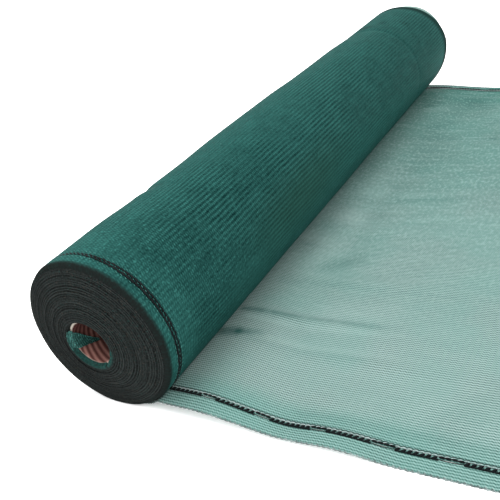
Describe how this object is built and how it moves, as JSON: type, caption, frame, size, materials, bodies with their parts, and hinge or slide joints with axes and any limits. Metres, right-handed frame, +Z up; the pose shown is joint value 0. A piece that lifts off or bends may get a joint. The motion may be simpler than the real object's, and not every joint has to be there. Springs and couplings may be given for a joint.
{
  "type": "roll of windbreak netting",
  "caption": "Roll of knitted green windbreak netting on a cardboard core, its loose end laid out flat beside it, with buttonholes along both edges.",
  "frame": {"origin": "middle of the flat strip on which the roll rests on the floor", "axes": "+Y along the roll from its near end to its far end, +X towards the loose end, +Z up"},
  "size_m": [0.5285, 1.012, 0.1822],
  "materials": {
    "wound_net": "many layers of knitted dark green polyethylene tape, matt with a faint sheen",
    "core_board": "raw spiral-wound brown cardboard, with a pale cut end",
    "tongue_net": "knitted green netting, two or three layers",
    "sheer_net": "one sheer layer of knitted green netting",
    "selvedge_net": "denser knitted edge with a line of black buttonhole stitching"
  },
  "bodies": {
    "root": {"wound_netting": "wound_net", "core_tube": "core_board", "tucked_tongue": "tongue_net", "loose_net": "sheer_net", "near_selvedge": "selvedge_net", "far_selvedge": "selvedge_net"}
  },
  "joints": []
}
